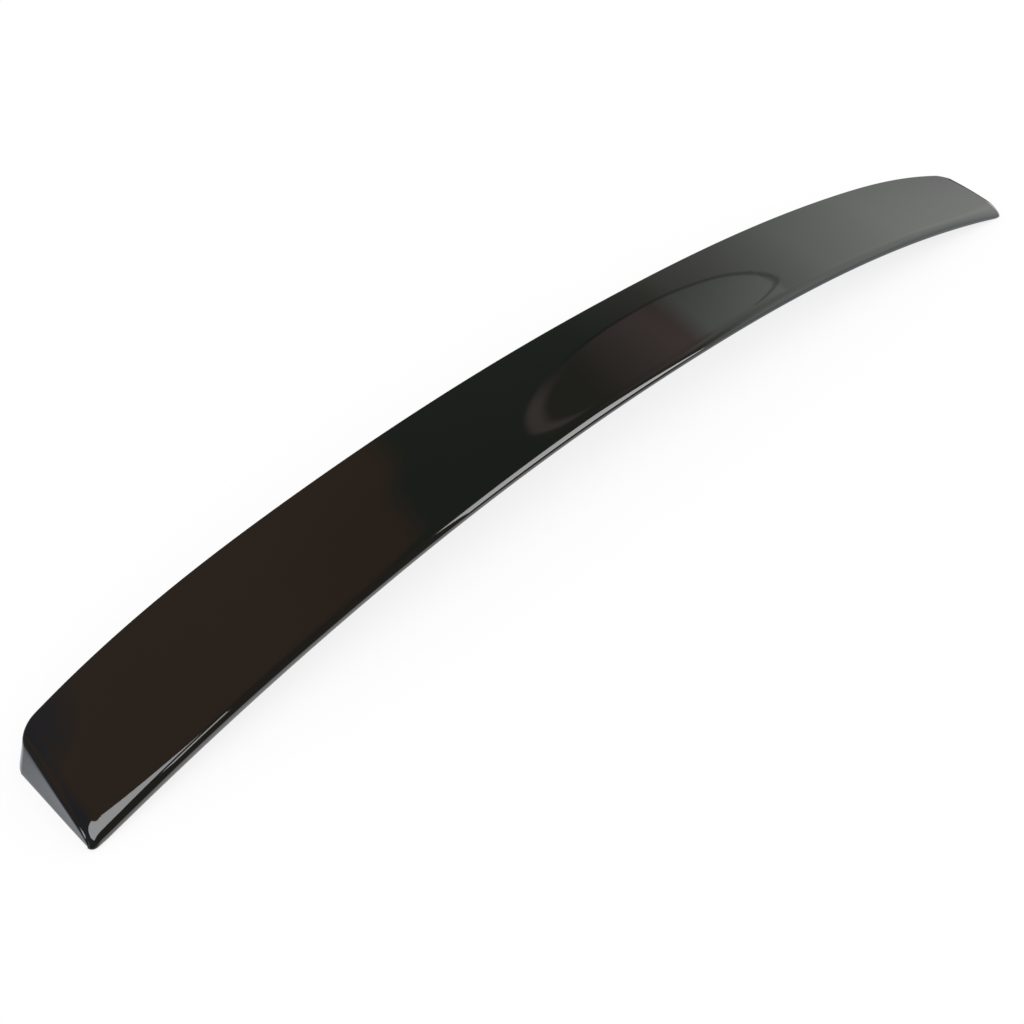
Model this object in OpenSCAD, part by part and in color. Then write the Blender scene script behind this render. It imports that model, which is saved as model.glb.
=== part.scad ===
// Slim roof spoiler, one moulded shell. It lies on its two end feet: X runs along the span,
// +Y points to the roof edge, -Y is the trailing lip and the feet are on Z = 0.

/* [Overall size] */
// Length of the trailing lip between its two corners
span = 1119; // [700:10:1500]
// Depth at the ends, from the lip face to the line of the front crease
chord = 97.5; // [80:1:160]
// Rise of the middle above the ends, which follows the roof
crown = 42.5; // [0:0.5:70]
// How far the middle of the lip lies forward of its corners
lip_sweep = 35; // [0:0.5:60]
// How far the middle of the front crease lies forward of its ends
front_sweep = 30; // [0:0.5:60]
// Exponent of the crown and sweep curves, where 2 is a parabola
curve_power = 2.16; // [2:0.01:3]

/* [Section] */
// Height of the front wall
front_h = 25; // [20:0.5:50]
// Height at which the line of the top meets the lip face
lip_h = 8.6; // [8:0.1:16]
// Height of the top's arch above a straight line from lip to front
camber = 1.5; // [0:0.1:6]
// Thickness of the moulded wall
wall = 3; // [2:0.1:3.2]

/* [Lip] */
// Depth of the lip's round-over in the middle of the span
lip_round = 8.5; // [7:0.5:12]
// Depth of the round-over at the lip corners
tip_round = 22; // [9:0.5:28]
// Distance from the corner over which the round-over grows
tip_len = 110; // [60:5:300]
// Fullness of the round-over, where 0.7 is an ellipse
round_weight = 0.75; // [0.6:0.05:1.2]
// Radius along the bottom of the lip
lip_edge_r = 1.6; // [0.8:0.1:2]
// Plan radius of the lip corners
lip_corner_r = 4; // [2:0.5:6]
// Width of the solid bead behind the lip face
lip_bead = 6; // [5:0.5:9]

/* [Front edge and ends] */
// How far the front edge draws back at each end
front_setback = 11; // [0:0.5:25]
// How far the front edge drops at each end
front_drop = 2.5; // [0:0.1:5]
// Length over which the front edge draws back and drops
front_runout = 200; // [120:10:300]
// Plan radius of the front corners
corner_r = 11.5; // [9:0.5:16]
// Outward slant of each end, front corner against lip corner
end_flare = 3.5; // [0:0.5:15]
// How far the foot of the end wall stands outside its crease at the front corner
end_out = 13.2; // [9:0.2:16]
// The same at the lip corner
lip_end_out = 3.2; // [2:0.2:6]
// Lean of the front wall from upright, in degrees
front_lean = 7; // [2:0.5:20]
// Radius of the crease round the front and the ends
crease_r = 1.4; // [0.5:0.1:2]
// Radius of the foot edge round the front and the ends
foot_r = 0.8; // [0.3:0.1:1]

/* [Underside] */
// Width of the bonding flange along the front foot
front_land = 12; // [8:0.5:20]
// Thickness of that flange, and clearance of the ribs above the glass
flange_t = 2.5; // [1.5:0.1:2.6]
// Number of cross ribs
rib_count = 9; // [1:2:15]
// Thickness of a rib
rib_t = 2.4; // [1:0.1:4]

/* [Smoothness] */
// Steps of each bay between two ribs
bay_steps = 5; // [2:1:8]
// Steps of the top from round-over to front
top_steps = 12; // [8:1:20]
// Steps of the lip's round-over
lip_steps = 6; // [4:1:10]

/* [Hidden] */
half = span / 2;
front_half = half + end_flare;
fillet_steps = 4;
round_steps = 3;
rings = fillet_steps + 1 + round_steps;

// The opening ends at the corner arc's second step, and outboard of it the feet are flat
arc_step = 15;
open_turn = 30;
x_open = half * (1 - corner_r * (1 - sin(open_turn)) / front_half);

// Spanwise laws: w is the fraction of the half span, from -1 to 1
function arch(w) = 1 - pow(min(abs(w), 1), curve_power);
function runout(x) = pow(max(0, (abs(x) - front_half + front_runout) / front_runout), 3);
function round_at(w) = lip_round
    + (tip_round - lip_round) * pow(max(0, (half * (abs(w) - 1) + tip_len) / tip_len), 2);
function ground(x) = crown * arch(x / x_open);

// Spanwise stations: both edges of each rib, even steps between, then the corner arc
bays = rib_count + 1;
rib_pitch = 2 * x_open / bays;
x_arc = half * (1 - corner_r / front_half);
function bay_start(b) = b == 0 ? -x_arc : -x_open + b * rib_pitch + rib_t / 2;
function bay_end(b) = b == bays - 1 ? x_arc : -x_open + (b + 1) * rib_pitch - rib_t / 2;
arc_open = [for (a = [arc_step:arc_step:open_turn]) 1 - corner_r * (1 - sin(a)) / front_half];
arc_rest = [for (a = [open_turn + arc_step:arc_step:90]) 1 - corner_r * (1 - sin(a)) / front_half];
function back(list) = [for (i = [len(list) - 1:-1:0]) list[i]];
bay_w = [for (b = [0:bays - 1]) [
    for (w = b == 0 ? -back(arc_open) : []) w,
    for (i = [0:bay_steps]) (bay_start(b) + (bay_end(b) - bay_start(b)) * i / bay_steps) / half,
    for (w = b == bays - 1 ? arc_open : []) w]];
inner_w = [for (b = bay_w) for (w = b) w];
outer_w = concat(-back(arc_rest), inner_w, arc_rest);
skip = len(arc_rest);
// Rib gaps, given as the station before each rib
function bay_last(b) = len([for (i = [0:b]) for (w = bay_w[i]) w]) - 1;
rib_before = [for (b = [0:bays - 2]) bay_last(b)];

// Corner arc of the front edge: its plan turn, and how far it falls back
function turn(w) = let (d = front_half * (1 - abs(w)))
    d < corner_r ? sign(w) * asin(1 - d / corner_r) : 0;
function arc_back(w) = corner_r * (1 - cos(turn(w)));
// The same for the lip corner
function lip_turn(w) = let (d = half * (1 - abs(w)))
    d < lip_corner_r ? sign(w) * asin(1 - d / lip_corner_r) : 0;
function lip_back(w) = lip_corner_r * (1 - cos(lip_turn(w)));

// Depth of the whole blade, for its place on the origin
depth = chord + front_sweep + crease_r + tan(front_lean) * (front_h - foot_r);
lip_low = min([for (w = outer_w) lip_sweep * arch(w) + lip_back(w)]);
y_lip_corner = -(depth + lip_low) / 2;
y_front_end = y_lip_corner + chord;

// Front crease and lip crease at w
function front_at(w) = let (x = w * front_half) [
    x,
    y_front_end + front_sweep * arch(w) - front_setback * runout(x) - arc_back(w),
    front_h + crown * arch(w) - front_drop * runout(x)];
function lip_at(w) = [w * half, y_lip_corner + lip_sweep * arch(w), lip_h + crown * arch(w)];

// Top surface at w: v runs from -1 at the foot of the round-over to 0 at its crease and 1 at the front
function rise_at(w) = front_at(w) - lip_at(w);
function crease_t(w) = round_at(w) / rise_at(w)[1];
function top_at(w, v) = let (l = lip_at(w), c = crease_t(w), t = c + (1 - c) * max(v, 0),
    p = l + rise_at(w) * t + [0, 0, camber * 4 * t * (1 - t)])
    v < 0 ? round_over(w, -v, p) : p;
// Conic from the top's tangent at the crease p to upright at the lip face
function conic(u) = let (k = [pow(1 - u, 2), 2 * round_weight * u * (1 - u), u * u]) k / (k[0] + k[1] + k[2]);
function round_over(w, u, p) = let (
    l = lip_at(w), r = rise_at(w), k = conic(u), y_face = l[1] + lip_back(w),
    slope = (r[2] + camber * 4 * (1 - 2 * crease_t(w))) / r[1],
    y = k[0] * p[1] + (k[1] + k[2]) * y_face, t = (y - l[1]) / r[1],
    low = ground(w * (half + lip_end_out)) + lip_edge_r)
    [w * (half + end_flare * t + foot_out(t) * curl(u)), y,
     (k[0] + k[1]) * p[2] - k[1] * slope * (p[1] - y_face) + k[2] * low];
// The foot of each end wall is a straight line, and at the corner the crease curls out to meet it
function foot_out(t) = lip_end_out + (end_out - lip_end_out) * t;
function curl(u) = pow(max(0, u), 3);
// Place v of a depth y, which undoes top_at
function v_at(w, y) = let (c = top_at(w, 0)[1], back = lip_back(w),
    r = (y - lip_at(w)[1] - back) / (round_at(w) - back),
    q = sqrt(pow(round_weight, 2) - 1 + 1 / r) - round_weight)
    y < c ? -q / (1 + q) : (y - c) / (front_at(w)[1] - c);

// Slope of the front edge in plan, and its outward normal
function front_slope(w) = let (x = w * front_half, t = max(0, (abs(x) - front_half + front_runout) / front_runout))
    -sign(w) * (front_sweep * curve_power * pow(abs(w), curve_power - 1) / front_half
                + front_setback * 3 * t * t / front_runout);
function unit(p) = p / norm(p);
function front_out(w) = let (a = turn(w)) unit([sin(a) - front_slope(w) * cos(a), cos(a)]);

// Profile of the skirt below a crease: outward offset at depth d, and depth of ring q
function fillet_out(d, r) = d < r ? sqrt(max(0, r * r - (r - d) * (r - d))) : r;
function foot_in(d, h, r) = d > h - r ? r - sqrt(max(0, r * r - (d - h + r) * (d - h + r))) : 0;
function skirt_out(d, h, r, lean, foot) = fillet_out(d, r) + tan(lean) * d - foot_in(d, h, foot);
function ring_depth(q, h, r, foot) =
    q <= fillet_steps ? r * (1 - cos(90 * q / fillet_steps)) :
    h - foot + foot * sin(90 * (q - fillet_steps - 1) / round_steps);
// The last ring lies on the ground line, where the blade meets the glass
function grounded(p, q) = q == rings ? [p[0], p[1], ground(p[0])] : p;

function front_ring(w, q) = let (
    p = front_at(w), h = p[2] - ground(p[0]), d = ring_depth(q, h, crease_r, foot_r),
    end_lean = atan((end_out - crease_r) / h),
    lean = front_lean + (end_lean - front_lean) * abs(sin(turn(w))), n = front_out(w),
    o = skirt_out(d, h, crease_r, lean, foot_r))
    grounded([p[0] + n[0] * o, p[1] + n[1] * o, p[2] - d], q);
// End wall at v: crease point, crease radius and lean, which grows where the wall gets lower
function end_wall(side, v) = let (
    p = top_at(side, v), out = foot_out((p[1] - lip_at(side)[1]) / rise_at(side)[1]),
    left = 1 - curl(-v), r = crease_r * left) [p, r, atan((out * left - r) / p[2])];
function end_ring(side, v, q) = let (
    e = end_wall(side, v), p = e[0], foot = foot_r + (lip_edge_r - foot_r) * max(0, -v),
    d = ring_depth(q, p[2], e[1], foot), o = skirt_out(d, p[2], e[1], e[2], foot))
    grounded([p[0] + side * o, p[1], p[2] - d], q);
function lip_ring(w, q) = let (
    p = top_at(w, -1), a = 90 * q / rings, n = lip_turn(w), o = lip_edge_r * (1 - cos(a)))
    grounded([p[0] - sin(n) * o, p[1] + cos(n) * o, p[2] - lip_edge_r * sin(a)], q);

// Rows from lip to front, closer together at the lip
function row_v(j) = let (t = j / top_steps) t * (0.35 + 0.65 * t * (1.7 - 0.7 * t));
rows = concat([for (j = [0:lip_steps - 1]) j / lip_steps - 1], [for (j = [0:top_steps]) row_v(j)]);

// Inner section at x, from the lip's inner foot over the roof to the front flange
roof_steps = 8;
k_roof = 2;
k_root = k_roof + roof_steps + 1;
k_tip = k_root + 1;
k_foot = k_tip + 1;
function roof_at(x, v) = let (p = top_at(x / (half + end_flare * max(v, 0)), v)) [x, p[1], p[2] - wall];
function y_bead(w) = lip_at(w)[1] + lip_bead + (round_at(w) - lip_round) / 2;
function inner_section(x) = let (
    g = ground(x), w = x / front_half, f = front_at(w), y_lip = y_bead(x / half),
    gap = wall / cos(front_lean) / front_out(w)[1],
    y_top = f[1] + crease_r + tan(front_lean) * wall - gap,
    y_root = f[1] + crease_r + tan(front_lean) * (f[2] - g - flange_t) - gap,
    y_tip = y_root + gap - front_land,
    v0 = v_at(x / half, y_lip), v1 = v_at(w, y_top)) [
    [x, y_lip, g],
    [x, y_lip, g + flange_t],
    for (i = [0:roof_steps]) roof_at(x, v0 + (v1 - v0) * i / roof_steps),
    [x, y_root, g + flange_t],
    [x, y_tip, g + flange_t],
    [x, y_tip, g]];
// Inner face of an end wall: the last section, laid on the leaning wall
function end_section(side) = let (
    y_lip = y_bead(side), y_front = front_at(side)[1] + crease_r,
    lay = function (y, z) let (e = end_wall(side, v_at(side, y)))
        [side * (abs(e[0][0]) + e[1] - wall / cos(e[2]) + tan(e[2]) * (e[0][2] - z)), y, z],
    roof = function (y) top_at(side, v_at(side, y))[2] - wall) [
    lay(y_lip, 0),
    lay(y_lip, flange_t),
    for (i = [0:roof_steps]) let (y = y_lip + (y_front - y_lip) * i / roof_steps) lay(y, roof(y)),
    lay(y_front, flange_t),
    lay(y_front - front_land + wall, flange_t),
    lay(y_front - front_land + wall, 0)];

// Points: the top grid, the skirt rings, then the inner sections and the two end faces
n_w = len(outer_w);
n_v = len(rows);
row_n = n_v - 1;
n_s = len(inner_w);
n_k = k_foot + 1;
last = n_w - 1;
loop_n = 2 * last + 2 * row_n;
// Place l on the loop: front from left to right, right end, lip from right to left, left end
function loop_point(l, q) =
    l <= last ? front_ring(outer_w[l], q) :
    l < last + row_n ? end_ring(1, rows[row_n - (l - last)], q) :
    l <= 2 * last + row_n ? lip_ring(outer_w[last - (l - last - row_n)], q) :
    end_ring(-1, rows[l - 2 * last - row_n], q);
function loop_top(l) =
    l <= last ? l * n_v + row_n :
    l < last + row_n ? last * n_v + row_n - (l - last) :
    l <= 2 * last + row_n ? (last - (l - last - row_n)) * n_v :
    l - 2 * last - row_n;
function ring_id(q, l) = let (m = (l + loop_n) % loop_n) q == 0 ? loop_top(m) : n_w * n_v + (q - 1) * loop_n + m;
function front_id(i) = ring_id(rings, i);
function lip_id(i) = ring_id(rings, last + row_n + last - i);
first_inner = n_w * n_v + rings * loop_n;
function inner_id(s, k) = first_inner + s * n_k + k;
// The left end face follows the sections and the right one comes last
left_face = n_s;
right_face = n_s + 1;
points = concat(
    [for (w = outer_w) for (v = rows) top_at(w, v)],
    [for (q = [1:rings]) for (l = [0:loop_n - 1]) loop_point(l, q)],
    [for (w = inner_w) each inner_section(w * half)],
    end_section(-1), end_section(1));

// Faces, each run clockwise as seen from outside
function quad(a, b, c, d) = [[a, b, c], [a, c, d]];
function fan(hub, ids) = [for (i = [0:len(ids) - 2]) [hub, ids[i], ids[i + 1]]];
function strip(s, t, k0, k1) = [for (k = [k0:k1 - 1])
    each quad(inner_id(s, k), inner_id(t, k), inner_id(t, k + 1), inner_id(s, k + 1))];
function is_rib(s) = len([for (r = rib_before) if (r == s) 1]) > 0;
function cap(s) = fan(inner_id(s, k_tip), [for (k = [1:k_root]) inner_id(s, k)]);
function flip(faces) = [for (f = faces) [f[0], f[2], f[1]]];

top_faces = [for (i = [0:last - 1]) for (j = [0:row_n - 1])
    each quad(i * n_v + j, i * n_v + j + 1, (i + 1) * n_v + j + 1, (i + 1) * n_v + j)];
skirt_faces = [for (q = [0:rings - 1]) for (l = [0:loop_n - 1])
    each quad(ring_id(q, l), ring_id(q + 1, l), ring_id(q + 1, l + 1), ring_id(q, l + 1))];
pocket_faces = [for (s = [0:n_s - 2])
    each is_rib(s) ? concat(strip(s, s + 1, 0, 1), strip(s, s + 1, k_tip, k_foot), cap(s + 1), flip(cap(s)),
        quad(inner_id(s, 1), inner_id(s + 1, 1), inner_id(s + 1, k_tip), inner_id(s, k_tip)))
    : strip(s, s + 1, 0, k_foot)];
// End pockets run on past the opening, above the flat foot
end_faces = concat(
    strip(left_face, 0, 1, k_tip), cap(left_face),
    quad(inner_id(left_face, 1), inner_id(left_face, k_tip), inner_id(0, k_tip), inner_id(0, 1)),
    quad(inner_id(0, 0), inner_id(0, 1), inner_id(0, k_tip), inner_id(0, k_foot)),
    strip(n_s - 1, right_face, 1, k_tip), flip(cap(right_face)),
    quad(inner_id(n_s - 1, 1), inner_id(n_s - 1, k_tip), inner_id(right_face, k_tip), inner_id(right_face, 1)),
    quad(inner_id(n_s - 1, 0), inner_id(n_s - 1, k_foot), inner_id(n_s - 1, k_tip), inner_id(n_s - 1, 1)));
// Rims along the lip and the front, then the flat foot at each end
rim_faces = [for (s = [0:n_s - 2]) let (i = s + skip) each concat(
    quad(lip_id(i), lip_id(i + 1), inner_id(s + 1, 0), inner_id(s, 0)),
    quad(inner_id(s, k_foot), inner_id(s + 1, k_foot), front_id(i + 1), front_id(i)))];
function foot_half(l0, l1, hub) = [for (l = [l0:l1 - 1]) [ring_id(rings, l + 1), ring_id(rings, l), hub]];
mid_end = floor(row_n / 2);
right_mid = last + mid_end;
left_mid = -mid_end;
right_hub = [inner_id(n_s - 1, 0), inner_id(n_s - 1, k_foot)];
left_hub = [inner_id(0, 0), inner_id(0, k_foot)];
foot_faces = concat(
    foot_half(last - skip, right_mid, right_hub[1]),
    [[ring_id(rings, right_mid), right_hub[1], right_hub[0]]],
    foot_half(right_mid, last + row_n + skip, right_hub[0]),
    foot_half(-row_n - skip, left_mid, left_hub[0]),
    [[ring_id(rings, left_mid), left_hub[0], left_hub[1]]],
    foot_half(left_mid, skip, left_hub[1]));

// Moulded blade: crowned and swept top, leaning ends, thin lip and a ribbed, open underside
module spoiler_blade() {
    color("#1d1a18")
        polyhedron(points, concat(top_faces, skirt_faces, pocket_faces, end_faces, rim_faces, foot_faces), 12);
}

spoiler_blade();
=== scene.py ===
"""Slim roof spoiler in clear-coated gloss black ABS, dressed for a studio picture."""

from functools import partial
from math import asin, atan, cos, pi, radians, sin, sqrt, tan

import bmesh
import bpy
from bpy.props import FloatProperty, FloatVectorProperty, IntProperty
from mathutils import Euler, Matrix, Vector


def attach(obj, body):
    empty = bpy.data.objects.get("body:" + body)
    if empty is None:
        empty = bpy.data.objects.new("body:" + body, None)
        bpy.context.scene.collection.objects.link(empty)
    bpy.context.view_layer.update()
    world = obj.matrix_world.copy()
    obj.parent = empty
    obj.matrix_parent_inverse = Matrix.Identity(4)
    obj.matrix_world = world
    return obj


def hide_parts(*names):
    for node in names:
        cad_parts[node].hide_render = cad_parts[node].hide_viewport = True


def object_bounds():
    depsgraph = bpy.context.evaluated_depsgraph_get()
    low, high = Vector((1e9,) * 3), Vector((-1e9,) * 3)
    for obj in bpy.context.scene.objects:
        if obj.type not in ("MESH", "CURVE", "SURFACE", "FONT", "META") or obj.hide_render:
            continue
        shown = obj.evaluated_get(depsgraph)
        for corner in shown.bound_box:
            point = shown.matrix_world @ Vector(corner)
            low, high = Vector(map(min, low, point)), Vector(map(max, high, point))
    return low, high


bl_info = {
    "name": "Roof Spoiler",
    "version": (1, 0, 0),
    "blender": (4, 5, 0),
    "location": "View3D > Sidebar > Spoiler",
    "description": "Builds a slim gloss black roof spoiler and its studio",
    "category": "Object",
}

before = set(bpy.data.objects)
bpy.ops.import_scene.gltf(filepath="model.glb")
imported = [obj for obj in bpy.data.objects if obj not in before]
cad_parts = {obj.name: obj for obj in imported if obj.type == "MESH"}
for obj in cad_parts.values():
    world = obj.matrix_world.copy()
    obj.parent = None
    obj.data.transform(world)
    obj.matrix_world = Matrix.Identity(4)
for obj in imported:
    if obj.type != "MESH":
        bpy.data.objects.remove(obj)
CAD_LOW, CAD_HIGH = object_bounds()
NODE = "spoiler_blade"
MM = 0.001


def srgb(code):
    """Linear RGBA of an sRGB hex colour."""
    parts = [int(code[i:i + 2], 16) / 255 for i in (1, 3, 5)]
    return tuple(c / 12.92 if c <= 0.04045 else ((c + 0.055) / 1.055) ** 2.4 for c in parts) + (1.0,)


# Mesh of the blade: degrees per step of the front corners, and steps of the half span, round-over and top
ARC_STEP, SPAN_STEPS, ROUND_STEPS, TOP_STEPS = 9, 70, 14, 24
TOP_CROWDING = 1.6
SHARP = radians(40)
# Steps down the outer wall: over the crease fillet to 1, the face to 2 and the round foot to 3
SKIRT = [k / 6 for k in range(1, 7)] + [1.15, 1.5, 1.85] + [2 + k / 4 for k in range(5)]
RIB_STEPS = 14
# Distances at which vertices are welded and slivers dissolved
WELD, SLIVER = 0.02 * MM, 0.01 * MM
# How far above the flange the inner walls begin, and how deep the ribs are let in as a share of the wall
LEDGE, RIB_SUNK = 0.3 * MM, 0.4
# The moulded skin and its clear coat
WAVE_LENGTH, WAVE_HEIGHT = 120 * MM, 0.1 * MM
PEEL_LENGTH, PEEL_HEIGHT = 3 * MM, 0.002 * MM
ROLL_LENGTH, ROLL_DEPTH = 11.5 * MM, 0.65 * MM
COAT_ROUGHNESS, COAT_IOR, PIGMENT_SPREAD = 0.03, 1.5, 1.6
# The floor's strength to the camera, just past white so that it stays white when rounded
WHITE = 1.004
# The paper that the gloss shows, with a painted glow and painted shade, and the steps over which it changes.
# They run along x or y in metres, and where four numbers are given the last two are the values at both ends
# of the step.
PAPER, PAINTED_GLOW_TINT = srgb("#f1f6fb"), srgb("#fffdff")
PAPER_START, PAPER_TURN = (-0.19, -0.12), 0.1
LIP_GLOW, LIP_GLOW_END, LIP_GLOW_GAIN = (0.35, -0.5), (-0.563, -0.555), 2.0
BESIDE_END = (-0.55, -0.57)
DIM_TO_LIP, DIM_OUTWARDS = (0.06, -0.12, 0.0, 0.55), (-0.575, -0.60, 0.0, 0.35)
# What the gloss shows: the plain surfaces of a room, where 1 is as bright as a white sheet
DARK_ROOM = srgb("#908b7e")
CORNER, CEILING, CEILING_EDGE = (0.30, 0.30, 0.35), (0.50, 0.35, 0.25), (0.45, 0.30, 0.20)
DARK_WALL, DARK_WALL_LIT = (0.20, 0.25, 0.20), (0.35, 0.35, 0.30)
PALE_WALL_SHADE, PALE_WALL, PALE_WALL_END = (0.50, 0.50, 0.45), (0.85, 0.90, 0.85), (0.55, 0.55, 0.55)
BRIGHT_END = (1.20, 1.20, 1.15)
# Where they lie across the sky from -x to +x
ROOM = [(-0.216, CORNER), (-0.18, CEILING), (0.0, CEILING), (0.112, CEILING_EDGE), (0.14, DARK_WALL),
        (0.35, DARK_WALL), (0.42, DARK_WALL_LIT), (0.44, PALE_WALL_SHADE), (0.57, PALE_WALL),
        (0.67, PALE_WALL), (0.86, PALE_WALL_END), (0.90, BRIGHT_END)]
BAY, BAY_END = (0.16, 0.22, 0.0, 0.02), (0.3, 0.2)
PALE_BELOW, FAR_WALL = (0.2738, 0.0091, 0.8, 1.7), (0.40, 0.50)
BACK_WALL, BACK_TURN = (-0.46, -0.24), 0.5
# The oval mirror that hangs in front of the far wall: its place and size in the same map, and what it shows
OVAL_X, OVAL_Y = 0.387, 0.118
OVAL_WIDTH, OVAL_RISE = 0.131, 0.084
MIRROR_DROP, RIM_DROP = 0.4, 0.036
RIM_COLOUR = srgb("#d4c8bc")
OVAL_DARK, OVAL_RED = (0.25, 0.25, 0.20), (0.65, 0.50, 0.45)
OVAL_PALE, OVAL_BRIGHT = (0.95, 1.0, 0.95), (1.20, 1.30, 1.20)
OVAL = [(0.25, OVAL_DARK), (0.32, OVAL_DARK), (0.40, OVAL_RED), (0.415, OVAL_RED), (0.435, OVAL_PALE),
        (0.53, OVAL_BRIGHT)]
OVAL_EDGE, OVAL_UPPER, OVAL_SIDE = (1.01, 0.97), (0.10, 0.19, -0.01, 0.08), (0.38, 0.44, -0.9, -4.5)
# Its rim is a pale crescent and a dark outline. Each is bounded by two steps across the ring, where 1 is the
# oval's edge, and by steps along x and y.
CRESCENT = (("ring", 0.83, 0.94), ("ring", 1.07, 0.99), ("x", 0.338, 0.265), ("y", 0.20, 0.145))
OUTLINE = (("ring", 0.955, 1.0), ("ring", 1.055, 1.01), ("x", 0.28, 0.38))
OUTLINE_DEPTH = 0.42
# Softboxes: the window behind the camera gives the line along the lip, and the ceiling the flare at the near
# tip. Each has its place, turn in degrees, width and height, brightness against a white sheet, and colour.
SOFTBOXES = (
    ("window", (2.17, -3.40, 1.41), (90, -4, 35), (1.57, 2.52), 7.5, (1, 1, 1)),
    ("ceiling_panel", (-3.01, -2.27, 2.52), (0, 0, 22.8), (4.03, 2.02), 6.5, (0.95, 0.97, 1.0)),
    ("ceiling_strip", (-0.68, -3.80, 2.52), (0, 0, 7.7), (0.54, 1.05), 6.0, (1, 1, 1)),
)


def length(name, mm, description):
    return FloatProperty(name=name, default=mm * MM, unit="LENGTH", precision=4, description=description)


class SpoilerBlade(bpy.types.PropertyGroup):
    """Sizes of the moulded blade, the same as in its CAD source."""

    lip_length: length("Lip length", 1119, "Trailing lip from corner to corner")
    chord: length("Chord", 97.5, "Depth at the ends, from the lip face to the line of the front crease")
    crown: length("Crown", 42.5, "Rise of the middle above the ends")
    lip_sweep: length("Lip sweep", 35, "How far the middle of the lip lies forward of its corners")
    front_sweep: length("Front sweep", 30, "How far the middle of the front crease lies forward of its ends")
    curve_power: FloatProperty(name="Curve power", default=2.16, description="Exponent of crown and sweep")
    front_height: length("Front height", 25, "Height of the front wall")
    lip_height: length("Lip height", 8.6, "Height at which the line of the top meets the lip face")
    camber: length("Camber", 1.5, "Height of the top's arch above a straight line from lip to front")
    wall: length("Wall", 3, "Thickness of the moulded wall")
    lip_round: length("Lip round-over", 8.5, "Depth of the lip's round-over in the middle of the span")
    tip_round: length("Tip round-over", 22, "Depth of the round-over at the lip corners")
    tip_length: length("Tip length", 110, "Distance from the corner over which the round-over grows")
    fullness: FloatProperty(name="Fullness", default=0.75,
                            description="Fullness of the round-over, where 0.7 is an ellipse")
    lip_edge: length("Lip edge", 1.6, "Radius along the bottom of the lip")
    lip_corner: length("Lip corner", 4, "Plan radius of the lip corners")
    lip_bead: length("Lip bead", 6, "Width of the solid bead behind the lip face")
    setback: length("Front setback", 11, "How far the front edge draws back at each end")
    drop: length("Front drop", 2.5, "How far the front edge drops at each end")
    runout: length("Front run-out", 200, "Length over which the front edge draws back and drops")
    corner: length("Corner radius", 11.5, "Plan radius of the front corners")
    flare: length("End flare", 3.5, "Outward slant of each end, front corner against lip corner")
    end_out: length("End foot", 13.2, "How far the end wall's foot stands out at the front corner")
    lip_end_out: length("Lip end foot", 3.2, "The same at the lip corner")
    front_lean: FloatProperty(name="Front lean", default=radians(7), subtype="ANGLE",
                              description="Lean of the front wall from upright")
    crease: length("Crease radius", 1.4, "Radius of the crease round the front and the ends")
    foot: length("Foot radius", 0.8, "Radius of the foot edge round the front and the ends")
    flange_width: length("Flange width", 12, "Width of the bonding flange along the front foot")
    flange: length("Flange thickness", 2.5, "Thickness of the bonding flange and clearance of the ribs")
    ribs: IntProperty(name="Ribs", default=9, description="Number of cross ribs in the underside")
    rib: length("Rib thickness", 2.4, "Thickness of one cross rib")


class SpoilerStudio(bpy.types.PropertyGroup):
    """Camera, light and colours of the studio."""

    paint: FloatVectorProperty(name="Paint", subtype="COLOR", size=4, default=srgb("#050505"),
                               description="Black pigment under the clear coat")
    floor: FloatVectorProperty(name="Floor", subtype="COLOR", size=4, default=srgb("#f4f4f4"),
                               description="Plain pale studio floor")
    shadow: FloatProperty(name="Shadow", default=0.22, min=0, max=1,
                          description="Share of the shadow that the floor shows")
    camera_place: FloatVectorProperty(name="Camera place", subtype="XYZ", unit="LENGTH",
                                      default=(-0.4939, -0.3436, 0.4557),
                                      description="Where the camera stands")
    camera_yaw: FloatProperty(name="Camera yaw", default=radians(42.163), subtype="ANGLE",
                              description="Turn of the view to the right of +Y")
    camera_pitch: FloatProperty(name="Camera pitch", default=radians(47.127), subtype="ANGLE",
                                description="How far the view looks down")
    focal: FloatProperty(name="Focal length", default=27.507, unit="CAMERA",
                         description="Focal length on a 36 mm wide sensor")


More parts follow.
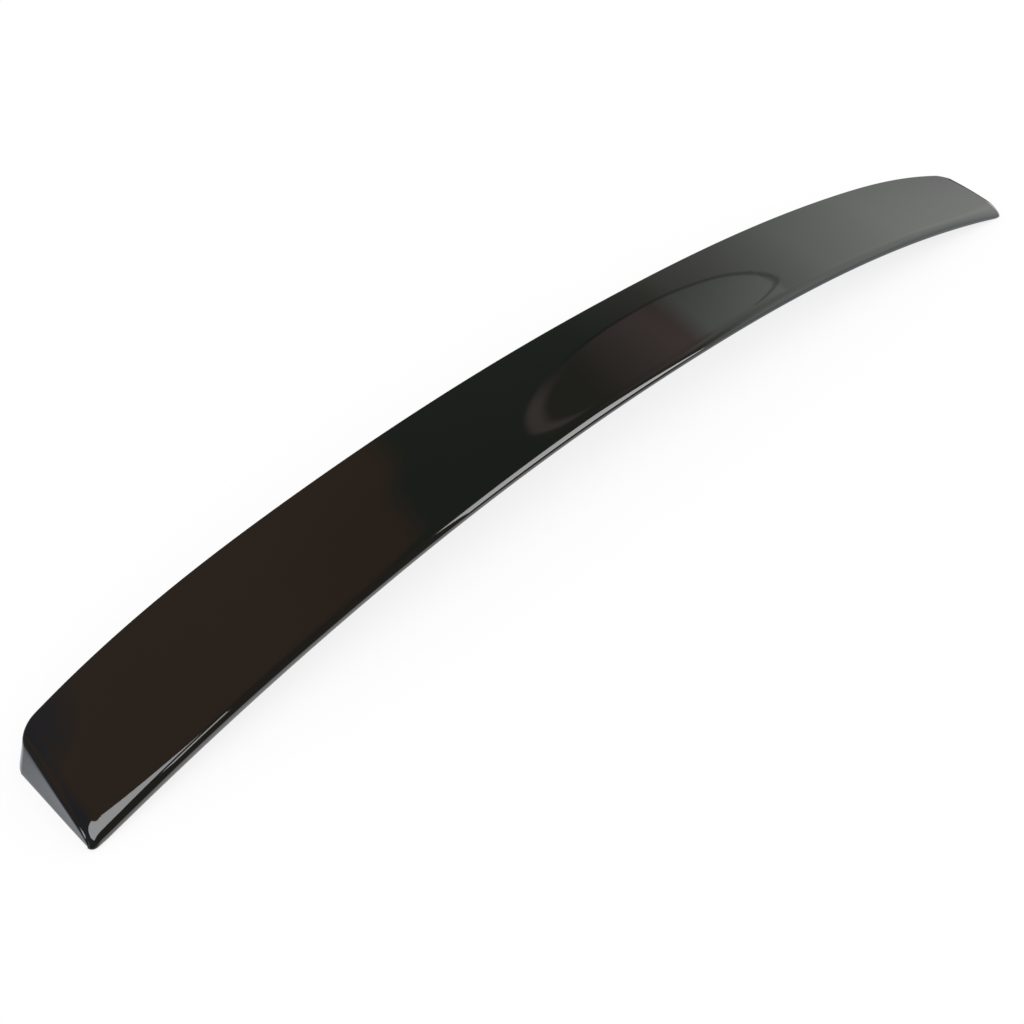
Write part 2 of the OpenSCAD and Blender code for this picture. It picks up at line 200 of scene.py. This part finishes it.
class Blade:
    """The blade's surfaces as formulas. w runs along the span from -1 to 1. v runs from -1 at the lip face
    over the crease of the round-over at 0 to 1 at the front."""

    def __init__(self, s):
        self.s = s
        self.half = s.lip_length / 2
        self.front_half = self.half + s.flare
        # The underside's opening ends where the corner arc has turned by 30 degrees
        self.opening = self.half * (1 - s.corner * (1 - sin(radians(30))) / self.front_half)
        depth = s.chord + s.front_sweep + s.crease + tan(s.front_lean) * (s.front_height - s.foot)
        self.lip_corner = CAD_HIGH[1] - depth

    def arch(self, w):
        """1 in the middle of the span and 0 at its ends."""
        return 1 - min(abs(w), 1) ** self.s.curve_power

    def ramp(self, x):
        """0 in the middle of the span, and from 0 to 1 over the run-out at each end."""
        return max(0, (abs(x) - self.front_half + self.s.runout) / self.s.runout)

    def ground(self, x):
        """Height of the lower rim, which follows the crown and is flat at the two end feet."""
        return self.s.crown * self.arch(x / self.opening)

    def turn(self, w, half, radius):
        """Plan turn of an edge inside its corner arc."""
        d = half * (1 - abs(w)) / radius
        return (1 if w > 0 else -1) * asin(max(-1, min(1, 1 - d))) if d < 1 else 0

    def front_turn(self, w):
        return self.turn(w, self.front_half, self.s.corner)

    def lip_turn(self, w):
        return self.turn(w, self.half, self.s.lip_corner)

    def front(self, w):
        s, x = self.s, w * self.front_half
        back = s.setback * self.ramp(x) ** 3 + s.corner * (1 - cos(self.front_turn(w)))
        return Vector((x, self.lip_corner + s.chord + s.front_sweep * self.arch(w) - back,
                       s.front_height + s.crown * self.arch(w) - s.drop * self.ramp(x) ** 3))

    def lip(self, w):
        s, arch = self.s, self.arch(w)
        return Vector((w * self.half, self.lip_corner + s.lip_sweep * arch, s.lip_height + s.crown * arch))

    def lip_face(self, w):
        return self.lip(w).y + self.s.lip_corner * (1 - cos(self.lip_turn(w)))

    def round_depth(self, w):
        s = self.s
        tip = max(0, (self.half * (abs(w) - 1) + s.tip_length) / s.tip_length)
        return s.lip_round + (s.tip_round - s.lip_round) * tip ** 2

    def top(self, w, v):
        low = self.lip(w)
        rise = self.front(w) - low
        crease = self.round_depth(w) / rise.y
        t = crease + (1 - crease) * max(v, 0)
        p = low + rise * t
        p.z += self.s.camber * 4 * t * (1 - t)
        return p if v >= 0 else self.round_over(w, -v, p, crease)

    def round_over(self, w, u, p, crease):
        """Conic from the top's tangent at the crease point p to upright at the lip face."""
        s, low, rise, face = self.s, self.lip(w), self.front(w) - self.lip(w), self.lip_face(w)
        parts = [(1 - u) ** 2, 2 * s.fullness * u * (1 - u), u * u]
        a, b, c = (k / sum(parts) for k in parts)
        slope = (rise.z + s.camber * 4 * (1 - 2 * crease)) / rise.y
        y = a * p.y + (b + c) * face
        t = (y - low.y) / rise.y
        edge = self.ground(w * (self.half + s.lip_end_out)) + s.lip_edge
        return Vector((w * (self.half + s.flare * t + self.foot_out(t) * u ** 3), y,
                       (a + b) * p.z - b * slope * (p.y - face) + c * edge))

    def foot_out(self, t):
        """How far the end wall's foot stands outside its crease, on a straight line."""
        return self.s.lip_end_out + (self.s.end_out - self.s.lip_end_out) * t

    def place_of(self, w, y):
        """The v of a depth y, which undoes top()."""
        crease, face = self.top(w, 0).y, self.lip_face(w)
        if y >= crease:
            return (y - crease) / (self.front(w).y - crease)
        share = (y - face) / (crease - face)
        q = sqrt(self.s.fullness ** 2 - 1 + 1 / share) - self.s.fullness
        return -q / (1 + q)

    def height(self, x, y):
        """Height of the top surface over a point of the plan."""
        w = max(-1, min(1, x / self.half))
        for _ in range(3):
            t = (y - self.lip(w).y) / (self.front(w).y - self.lip(w).y)
            w = max(-1, min(1, x / (self.half + self.s.flare * t)))
        return self.top(w, max(-1, min(1, self.place_of(w, y)))).z

    def front_out(self, w):
        """Outward normal of the front edge in plan."""
        s, t = self.s, self.front_turn(w)
        bend = s.front_sweep * s.curve_power * abs(w) ** (s.curve_power - 1) / self.front_half
        slope = (bend + 3 * s.setback * self.ramp(w * self.front_half) ** 2 / s.runout) * (1 if w > 0 else -1)
        return Vector((sin(t) + slope * cos(t), cos(t), 0)).normalized()

    def front_wall_lean(self, w):
        p = self.front(w)
        end_lean = atan((self.s.end_out - self.s.crease) / (p.z - self.ground(p.x)))
        return self.s.front_lean + (end_lean - self.s.front_lean) * abs(sin(self.front_turn(w)))

    def end_wall(self, v):
        """Crease point, crease radius and lean of the end wall at the end where w is 1."""
        p = self.top(1, v)
        t = (p.y - self.lip(1).y) / (self.front(1).y - self.lip(1).y)
        left = 1 - max(0, -v) ** 3
        radius = self.s.crease * left
        return p, radius, atan((self.foot_out(t) * left - radius) / p.z)

    def skirt(self, w, v, step):
        """A point of the outer wall. Step runs over the fillet to 1, the face to 2 and the foot to 3."""
        s, side = self.s, (1 if w > 0 else -1)
        if v == -1:
            p, turn, bend = self.top(w, v), self.lip_turn(w), step / 3 * pi / 2
            back = s.lip_edge * (1 - cos(bend))
            q = p + Vector((-sin(turn) * back, cos(turn) * back, 0))
            down = s.lip_edge * sin(bend)
        else:
            on_end = abs(w) == 1 and v < 1
            p, radius, lean = (self.end_wall(v) if on_end else
                               (self.front(w), s.crease, self.front_wall_lean(w)))
            foot = s.foot + (s.lip_edge - s.foot) * max(0, -v)
            high = p.z - (0 if on_end else self.ground(p.x))
            down = (radius * (1 - cos(step * pi / 2)) if step <= 1 else
                    radius + (high - foot - radius) * (step - 1) if step <= 2 else
                    high - foot + foot * sin((step - 2) * pi / 2))
            fillet = sqrt(max(0, radius ** 2 - (radius - down) ** 2)) if down < radius else radius
            low = max(0, down - high + foot)
            out = fillet + tan(lean) * down - (foot - sqrt(max(0, foot ** 2 - low ** 2)))
            p = Vector((side * p.x, p.y, p.z)) if on_end else p
            q = p + (Vector((side, 0, 0)) if on_end else self.front_out(w)) * out
        q.z = self.ground(q.x) if step == 3 else p.z - down
        return q


def spread(count, power):
    """Even steps from 0 to 1 that close up at both ends by the given power."""
    steps = []
    for i in range(count + 1):
        t = 2 * i / count - 1
        steps.append(0.5 + 0.5 * (1 - (1 - abs(t)) ** power) * (1 if t > 0 else -1) if t else 0.5)
    return steps


class Grid:
    """A rectangle of vertices that a formula lays out, kept in rows so that it can be extruded and welded."""

    def __init__(self, mesh, across, along, place):
        grid = bmesh.ops.create_grid(mesh, x_segments=len(across) - 1, y_segments=len(along) - 1, size=1)
        verts = sorted(grid["verts"], key=lambda p: (round(p.co.y, 5), round(p.co.x, 5)))
        self.cells = {}
        for j, v in enumerate(along):
            for i, w in enumerate(across):
                vert = verts[j * len(across) + i]
                vert.co = place(w, v)
                self.cells[i, j] = vert


def add_node(tree, kind, *inputs, stops=(), **settings):
    """Adds one shader node. Its kind is the node's type, with its operation after a space. Inputs come in the
    node's own order, and settings by name. Each is a constant, a socket, or a node, whose first output is
    then linked. The stops of a colour ramp are spread from 0 to 1."""
    name, _, operation = kind.partition(" ")
    node = tree.nodes.new("ShaderNode" + name)
    if operation:
        setattr(node, "interpolation_type" if name == "MapRange" else "operation", operation)
    named = {key: value for key, value in settings.items() if key.replace("_", " ") in node.inputs}
    for key in settings.keys() - named.keys():
        setattr(node, key, settings[key])
    pairs = list(zip([socket for socket in node.inputs if socket.enabled], inputs))
    pairs += [(node.inputs[key.replace("_", " ")], value) for key, value in named.items()]
    for socket, value in pairs:
        if isinstance(value, bpy.types.Node):
            value = next(output for output in value.outputs if output.enabled)
        if isinstance(value, bpy.types.NodeSocket):
            tree.links.new(value, socket)
        else:
            socket.default_value = (*value, 1.0) if socket.type == "RGBA" and len(value) == 3 else value
    if stops:
        low, high = stops[0][0], stops[-1][0]
        for _ in stops[2:]:
            node.color_ramp.elements.new(1.0)
        for (at, colour), element in zip(stops, node.color_ramp.elements):
            element.position = (at - low) / (high - low)
            element.color = (*colour[:3], 1.0)
    return node


def put_in_order(mesh):
    """Sorts a mesh's parts by place, because Blender extrudes them in another order each time it runs."""
    places = ((mesh.verts, lambda vert: vert.co),
              (mesh.edges, lambda edge: edge.verts[0].co + edge.verts[1].co),
              (mesh.faces, lambda face: face.calc_center_median()))
    for parts, place in places:
        ranks = {part: rank for rank, part in enumerate(sorted(parts, key=lambda part: tuple(place(part))))}
        parts.sort(key=ranks.get)


def outer_skin(mesh, blade, across, along):
    """Lays the top grid, then extrudes its edge down the fillet, wall and foot. Returns the foot loop."""
    top = Grid(mesh, across, along, blade.top)
    last_i, last_j = len(across) - 1, len(along) - 1
    loop = ([(i, last_j) for i in range(last_i + 1)] + [(last_i, j) for j in range(last_j - 1, -1, -1)]
            + [(i, 0) for i in range(last_i - 1, -1, -1)] + [(0, j) for j in range(1, last_j)])
    ring = [top.cells[cell] for cell in loop]
    places = [(across[i], along[j]) for i, j in loop]
    for step in SKIRT:
        ring = extrude_ring(mesh, ring, [blade.skirt(w, v, step) for w, v in places])
    return ring, places


def extrude_ring(mesh, ring, targets):
    """Extrudes a closed loop of vertices once and moves each new vertex to its target."""
    edges = [mesh.edges.get((a, b)) for a, b in zip(ring, ring[1:] + ring[:1])]
    made = bmesh.ops.extrude_edge_only(mesh, edges=edges)["geom"]
    new = {e for e in made if isinstance(e, bmesh.types.BMVert)}
    following = []
    for vert, target in zip(ring, targets):
        twin = next(e.other_vert(vert) for e in vert.link_edges if e.other_vert(vert) in new)
        twin.co = target
        following.append(twin)
    return following


class Underside:
    """Inner faces of the shell: the bonding flange round the opening, the inner walls and the pocket roof."""

    OPENING, FLANGE, ROOT, ROOF = range(4)

    def __init__(self, blade):
        self.blade = blade
        self.s = blade.s

    def bead(self, w):
        """Depth of the inner face of the lip bead, which widens with the round-over."""
        return self.blade.lip(w).y + self.s.lip_bead + (self.blade.round_depth(w) - self.s.lip_round) / 2

    def end_face(self, y, level):
        """X of the inner face of the end wall at a depth and level."""
        p, radius, lean = self.blade.end_wall(self.blade.place_of(1, y))
        down = self.s.wall if level == self.ROOF else p.z - self.s.flange
        return p.x + radius - self.s.wall / cos(lean) + tan(lean) * down

    def wall(self, w, v, level):
        """A point where the inner walls meet the given level, for a place (w, v) on the edge of the top."""
        b, s, side = self.blade, self.s, (1 if w > 0 else -1)
        if v == -1:
            q = Vector((w * self.end_face(self.bead(1), level), self.bead(w), 0))
        elif abs(w) == 1 and v < 1:
            y = max(b.top(1, v).y, self.bead(1))
            q = Vector((side * self.end_face(y, level), y, 0))
        else:
            p = b.front(w)
            down = s.wall if level == self.ROOF else p.z - b.ground(p.x) - s.flange
            inset = (s.wall if level > self.FLANGE else s.flange_width) - s.crease
            q = p + b.front_out(w) * (tan(b.front_wall_lean(w)) * down - inset)
        if level <= self.FLANGE:
            q.x = max(-b.opening, min(b.opening, q.x))
        rise = {self.OPENING: 0, self.FLANGE: s.flange, self.ROOT: s.flange + LEDGE}
        q.z = b.height(q.x, q.y) - s.wall if level == self.ROOF else b.ground(q.x) + rise[level]
        return q

    def roof(self, w, v):
        """A point of the pocket roof, between the inner lip wall and the inner front wall."""
        if abs(v) == 1 or abs(w) == 1:
            return self.wall(w, v, self.ROOF)
        back, front = self.wall(w, -1, self.ROOF), self.wall(w, 1, self.ROOF)
        y = max(back.y, min(front.y, self.blade.top(w, v).y))
        q = back.lerp(front, (y - back.y) / (front.y - back.y))
        q.z = self.blade.height(q.x, y) - self.s.wall
        return q

    def close(self, mesh, foot, places, across, along):
        """Extrudes the foot loop inwards and up to the roof grid, and welds the two."""
        ring, outside = foot, set(mesh.faces)
        for level in (self.OPENING, self.FLANGE, self.ROOT, self.ROOF):
            ring = extrude_ring(mesh, ring, [self.wall(w, v, level) for w, v in places])
            if level == self.OPENING:
                flange = set(mesh.faces) - outside
        Grid(mesh, across, along, self.roof)
        put_in_order(mesh)
        bmesh.ops.remove_doubles(mesh, verts=mesh.verts, dist=WELD)
        put_in_order(mesh)
        bmesh.ops.dissolve_degenerate(mesh, edges=mesh.edges, dist=SLIVER)
        bmesh.ops.recalc_face_normals(mesh, faces=mesh.faces)
        # The flat bonding face keeps its own shading, apart from the round foot beside it
        flange = {face for face in flange if face.is_valid}
        for edge in {edge for face in flange for edge in face.edges}:
            edge.smooth = all(face in flange for face in edge.link_faces)

    def rib(self, mesh, x):
        """One cross rib: a plate from the lip bead to the front wall, let into the walls and the roof."""
        b, s = self.blade, self.s
        w, sunk = x / b.half, RIB_SUNK * s.wall
        y0 = self.bead(w) - sunk
        low = b.ground(x) + s.flange
        grid = bmesh.ops.create_grid(mesh, x_segments=RIB_STEPS, y_segments=1, size=1)
        for vert in grid["verts"]:
            # The front wall leans, so the plate is longer at its foot
            foot = vert.co.y < 0
            y1 = self.wall(x / b.front_half, 1, self.ROOT if foot else self.ROOF).y + sunk
            y = y0 + (y1 - y0) * (vert.co.x + 1) / 2
            z = low if foot else b.height(x, y) - s.wall + sunk
            vert.co = Vector((x - s.rib / 2, y, z))
        faces = list({f for v in grid["verts"] for f in v.link_faces})
        side = bmesh.ops.extrude_face_region(mesh, geom=faces)["geom"]
        moved = [g for g in side if isinstance(g, bmesh.types.BMVert)]
        bmesh.ops.translate(mesh, verts=moved, vec=(s.rib, 0, 0))
        plate = {f for v in moved for f in v.link_faces} | set(faces)
        bmesh.ops.recalc_face_normals(mesh, faces=list(plate))


def clear_coated_black(look, blade):
    """Gloss black ABS under clear coat: deep black that mirrors the room, with slow waves and orange peel."""
    material = bpy.data.materials.new("clear_coated_gloss_black_abs")
    material.use_nodes = True
    material.node_tree.nodes.clear()
    node = partial(add_node, material.node_tree)
    place = node("TexCoord").outputs["Object"]
    # Slow waves of the moulded skin, which bend the mirrored edges a little
    waves = node("TexNoise", place, Scale=1 / WAVE_LENGTH, Detail=1.0)
    waved = node("Bump", Height=waves, Strength=1.0, Distance=WAVE_HEIGHT)
    # The skin rolls off along each slanted end, which gives the dark line beside the crease
    axes = node("SeparateXYZ", place).outputs
    slant = blade.s.flare / blade.s.chord
    start = blade.half - ROLL_LENGTH - slant * blade.lip_corner
    beyond = node("Math SUBTRACT", node("Math ABSOLUTE", axes["X"]),
                  node("Math MULTIPLY_ADD", axes["Y"], slant, start))
    inset = node("MapRange LINEAR", beyond, 0.0, ROLL_LENGTH)
    fall = node("Math MULTIPLY", node("Math POWER", inset, 3.0), -ROLL_DEPTH)
    rolled = node("Bump", Height=fall, Normal=waved, Strength=1.0, Distance=1.0)
    # Orange peel of the sprayed coat, just felt in the softness of the highlights
    peel = node("TexNoise", place, Scale=1 / PEEL_LENGTH, Detail=2.0)
    coat = node("Bump", Height=peel, Normal=rolled, Strength=1.0, Distance=PEEL_HEIGHT)
    light_paint = [c * PIGMENT_SPREAD for c in look.paint]
    tint = node("ValToRGB", waves, stops=[(0.0, look.paint), (1.0, light_paint)])
    shader = node("BsdfPrincipled", Base_Color=tint, Normal=coat, Roughness=COAT_ROUGHNESS, IOR=COAT_IOR)
    node("OutputMaterial", shader)
    return material


def studio_floor(look):
    """White studio paper with a soft shadow under the part. In the gloss it ends in front of the lip, with
    painted light and shade.
    """
    material = bpy.data.materials.new("white_studio_paper")
    material.use_nodes = True
    material.node_tree.nodes.clear()
    node = partial(add_node, material.node_tree)
    paper = node("BsdfDiffuse", look.floor)
    # The paper's own light makes up for its share of grey, so that it is white where no shadow falls
    lift = node("Emission", (1, 1, 1), (WHITE - look.shadow * look.floor[0]) / (1 - look.shadow))
    seen = node("MixShader", look.shadow, lift, paper)
    axes = node("SeparateXYZ", node("TexCoord").outputs["Object"]).outputs
    x, y = axes["X"], axes["Y"]
    ahead = node("Math ADD", y, node("Math MAXIMUM", node("Math SUBTRACT", x, PAPER_TURN), 0.0))
    near = node("MapRange SMOOTHSTEP", ahead, *PAPER_START)
    # A painted pool of light: in the gloss the paper is brightest in front of the lip at the near tip
    front = node("Math MULTIPLY", node("MapRange SMOOTHSTEP", x, *LIP_GLOW),
                 node("MapRange SMOOTHSTEP", x, *LIP_GLOW_END))
    # Painted shade: beside the near end wall the paper darkens outwards and towards the lip
    dim = node("Math ADD", node("MapRange SMOOTHSTEP", y, *DIM_TO_LIP),
               node("MapRange SMOOTHSTEP", x, *DIM_OUTWARDS))
    beside = node("MapRange SMOOTHSTEP", x, *BESIDE_END)
    bright = node("Math ADD", node("Math SUBTRACT", 1.0, node("Math MULTIPLY", dim, beside)),
                  node("Math MULTIPLY", front, LIP_GLOW_GAIN))
    colour = node("Mix", front, PAPER, PAINTED_GLOW_TINT, data_type="RGBA")
    sheet = node("VectorMath SCALE", colour, Scale=bright)
    mirrored = node("Emission", node("Mix", near, DARK_ROOM, sheet, data_type="RGBA"))
    rays = node("LightPath").outputs
    gloss = node("MixShader", rays["Is Glossy Ray"], paper, mirrored)
    node("OutputMaterial", node("MixShader", rays["Is Camera Ray"], gloss, seen))
    return material


def mirrored_room(tree):
    """Colour of the room in each direction, on a map of the sky with its middle straight up."""
    node = partial(add_node, tree)
    way = node("SeparateXYZ", node("TexCoord").outputs["Generated"]).outputs
    reach = node("Math MAXIMUM", node("Math ADD", way["Z"], 1.0), 0.2)
    x, y = (node("Math DIVIDE", way[axis], reach) for axis in "XY")
    # The edge of the ceiling runs in a bay, so it is moved sideways with y
    bay = node("Math MULTIPLY", node("MapRange SMOOTHSTEP", y, *BAY),
               node("MapRange SMOOTHSTEP", x, *BAY_END))
    walls = node("MapRange LINEAR", node("Math SUBTRACT", x, bay), ROOM[0][0], ROOM[-1][0])
    walls = node("ValToRGB", walls, stops=ROOM)
    # The far wall gets paler downwards
    pale = node("VectorMath SCALE", walls, Scale=node("MapRange LINEAR", y, *PALE_BELOW))
    walls = node("Mix", node("MapRange SMOOTHSTEP", x, *FAR_WALL), walls, pale, data_type="RGBA")
    # The oval mirror goes down behind the edge of the lip, while its rim and outline turn in along the edge
    across = node("Math DIVIDE", node("Math SUBTRACT", x, OVAL_X), OVAL_WIDTH)
    up = node("Math DIVIDE", node("Math SUBTRACT", y, OVAL_Y), OVAL_RISE)
    below = [node("Math MULTIPLY", up, -OVAL_RISE / drop) for drop in (MIRROR_DROP, RIM_DROP)]
    whole, ring = (node("VectorMath LENGTH", node("CombineXYZ", across, node("Math MAXIMUM", up, low)))
                   for low in below)
    # Inside, it gets darker upwards, and most of all on its pale right side
    shade = node("Math MULTIPLY_ADD", node("MapRange LINEAR", y, *OVAL_UPPER),
                 node("MapRange SMOOTHSTEP", x, *OVAL_SIDE), 1.0)
    oval = node("ValToRGB", node("MapRange LINEAR", x, OVAL[0][0], OVAL[-1][0]), stops=OVAL)
    oval = node("VectorMath SCALE", oval, Scale=shade)
    room = node("Mix", node("MapRange SMOOTHSTEP", whole, *OVAL_EDGE), walls, oval, data_type="RGBA")
    # The rim shows as a pale crescent at the left end, and as a dark outline on the right
    crescent, outline = 1.0, OUTLINE_DEPTH
    values = {"ring": ring, "x": x, "y": y}
    for value, start, end in CRESCENT:
        crescent = node("Math MULTIPLY", node("MapRange SMOOTHSTEP", values[value], start, end), crescent)
    for value, start, end in OUTLINE:
        outline = node("Math MULTIPLY", node("MapRange SMOOTHSTEP", values[value], start, end), outline)
    room = node("Mix", crescent, room, RIM_COLOUR, data_type="RGBA")
    room = node("VectorMath SCALE", room, Scale=node("Math SUBTRACT", 1.0, outline))
    # Behind the camera the room is dark
    lit = node("Math MULTIPLY_ADD", node("Math MAXIMUM", node("Math SUBTRACT", x, BACK_TURN), 0.0), 2.0, y)
    return node("Mix", node("MapRange SMOOTHSTEP", lit, *BACK_WALL), DARK_ROOM, room, data_type="RGBA")


def studio_world():
    """White to the camera, even light for matt surfaces, and the room for gloss."""
    world = bpy.data.worlds.new("studio")
    bpy.context.scene.world = world
    world.use_nodes = True
    tree = world.node_tree
    tree.nodes.clear()
    shown = add_node(tree, "Background", mirrored_room(tree), 1.0)
    plain = add_node(tree, "Background", (1, 1, 1), 1.0)
    rays = add_node(tree, "LightPath").outputs
    add_node(tree, "OutputWorld", add_node(tree, "MixShader", rays["Is Glossy Ray"], plain, shown))


def softbox(name, place, turn, size, brightness, tint):
    """A soft lamp that only the gloss shows, as bright all over as a white sheet times the brightness."""
    lamp = bpy.data.lights.new(name, "AREA")
    lamp.shape = "RECTANGLE"
    lamp.size, lamp.size_y = size
    lamp.energy = brightness * pi * size[0] * size[1]
    lamp.color = tint
    box = bpy.data.objects.new(name, lamp)
    box.location = place
    box.rotation_euler = [radians(angle) for angle in turn]
    box.visible_diffuse = False
    bpy.context.collection.objects.link(box)
    return box


class SPOILER_OT_blade(bpy.types.Operator):
    """Builds the moulded blade with its lip, end walls, bonding flange and ribs"""

    bl_idname = "spoiler.blade"
    bl_label = "Build blade"

    def execute(self, context):
        sizes = context.scene.spoiler_blade
        blade = Blade(sizes)
        # Stations along the span: even in the middle, then round the corner arc
        arc = [1 - sizes.corner * (1 - sin(radians(a))) / blade.front_half for a in range(0, 91, ARC_STEP)]
        middle = [arc[0] * i / SPAN_STEPS for i in range(SPAN_STEPS)]
        half = middle + arc
        across = [-w for w in reversed(half)] + half[1:]
        along = [i / ROUND_STEPS - 1 for i in range(ROUND_STEPS)] + spread(TOP_STEPS, TOP_CROWDING)
        mesh = bmesh.new()
        foot, places = outer_skin(mesh, blade, across, along)
        under = Underside(blade)
        under.close(mesh, foot, places, across, along)
        for i in range(sizes.ribs):
            under.rib(mesh, blade.opening * (2 * (i + 1) / (sizes.ribs + 1) - 1))
        for face in mesh.faces:
            face.smooth = True
        for edge in mesh.edges:
            edge.smooth = edge.smooth and edge.calc_face_angle(0) < SHARP
        put_in_order(mesh)
        data = bpy.data.meshes.new("moulded_blade")
        mesh.to_mesh(data)
        mesh.free()
        piece = bpy.data.objects.new("moulded_blade", data)
        context.collection.objects.link(piece)
        data.materials.append(clear_coated_black(context.scene.spoiler_studio, blade))
        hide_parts(NODE)
        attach(piece, "root")
        return {"FINISHED"}


class SPOILER_OT_studio(bpy.types.Operator):
    """Adds the floor, the lamps, the room and the camera"""

    bl_idname = "spoiler.studio"
    bl_label = "Build studio"

    def execute(self, context):
        look = context.scene.spoiler_studio
        mesh = bmesh.new()
        bmesh.ops.create_grid(mesh, x_segments=1, y_segments=1, size=20)
        data = bpy.data.meshes.new("studio_floor")
        mesh.to_mesh(data)
        mesh.free()
        floor = bpy.data.objects.new("studio_floor", data)
        context.collection.objects.link(floor)
        data.materials.append(studio_floor(look))
        studio_world()
        for box in SOFTBOXES:
            softbox(*box)
        lens = bpy.data.cameras.new("camera")
        lens.sensor_width, lens.lens = 36, look.focal
        lens.clip_start, lens.clip_end = 0.01, 100
        camera = bpy.data.objects.new("camera", lens)
        camera.location = look.camera_place
        camera.rotation_euler = Euler((pi / 2 - look.camera_pitch, 0, -look.camera_yaw))
        context.collection.objects.link(camera)
        context.scene.camera = camera
        context.scene.view_settings.view_transform = "Standard"
        return {"FINISHED"}


class SPOILER_PT_panel(bpy.types.Panel):
    """Lists the steps and the sizes"""

    bl_idname = "SPOILER_PT_panel"
    bl_label = "Roof Spoiler"
    bl_space_type = "VIEW_3D"
    bl_region_type = "UI"
    bl_category = "Spoiler"

    def draw(self, context):
        for group in (context.scene.spoiler_blade, context.scene.spoiler_studio):
            for name in group.__annotations__:
                self.layout.prop(group, name)
        for step in STEPS:
            self.layout.operator(step.bl_idname)


STEPS = (SPOILER_OT_studio, SPOILER_OT_blade)
CLASSES = (SpoilerBlade, SpoilerStudio, *STEPS, SPOILER_PT_panel)


def register():
    for cls in CLASSES:
        bpy.utils.register_class(cls)
    bpy.types.Scene.spoiler_blade = bpy.props.PointerProperty(type=SpoilerBlade)
    bpy.types.Scene.spoiler_studio = bpy.props.PointerProperty(type=SpoilerStudio)


def unregister():
    del bpy.types.Scene.spoiler_studio
    del bpy.types.Scene.spoiler_blade
    for cls in reversed(CLASSES):
        bpy.utils.unregister_class(cls)


def main():
    register()
    for step in STEPS:
        group, name = step.bl_idname.split(".")
        getattr(getattr(bpy.ops, group), name)()


if __name__ == "__main__":
    main()
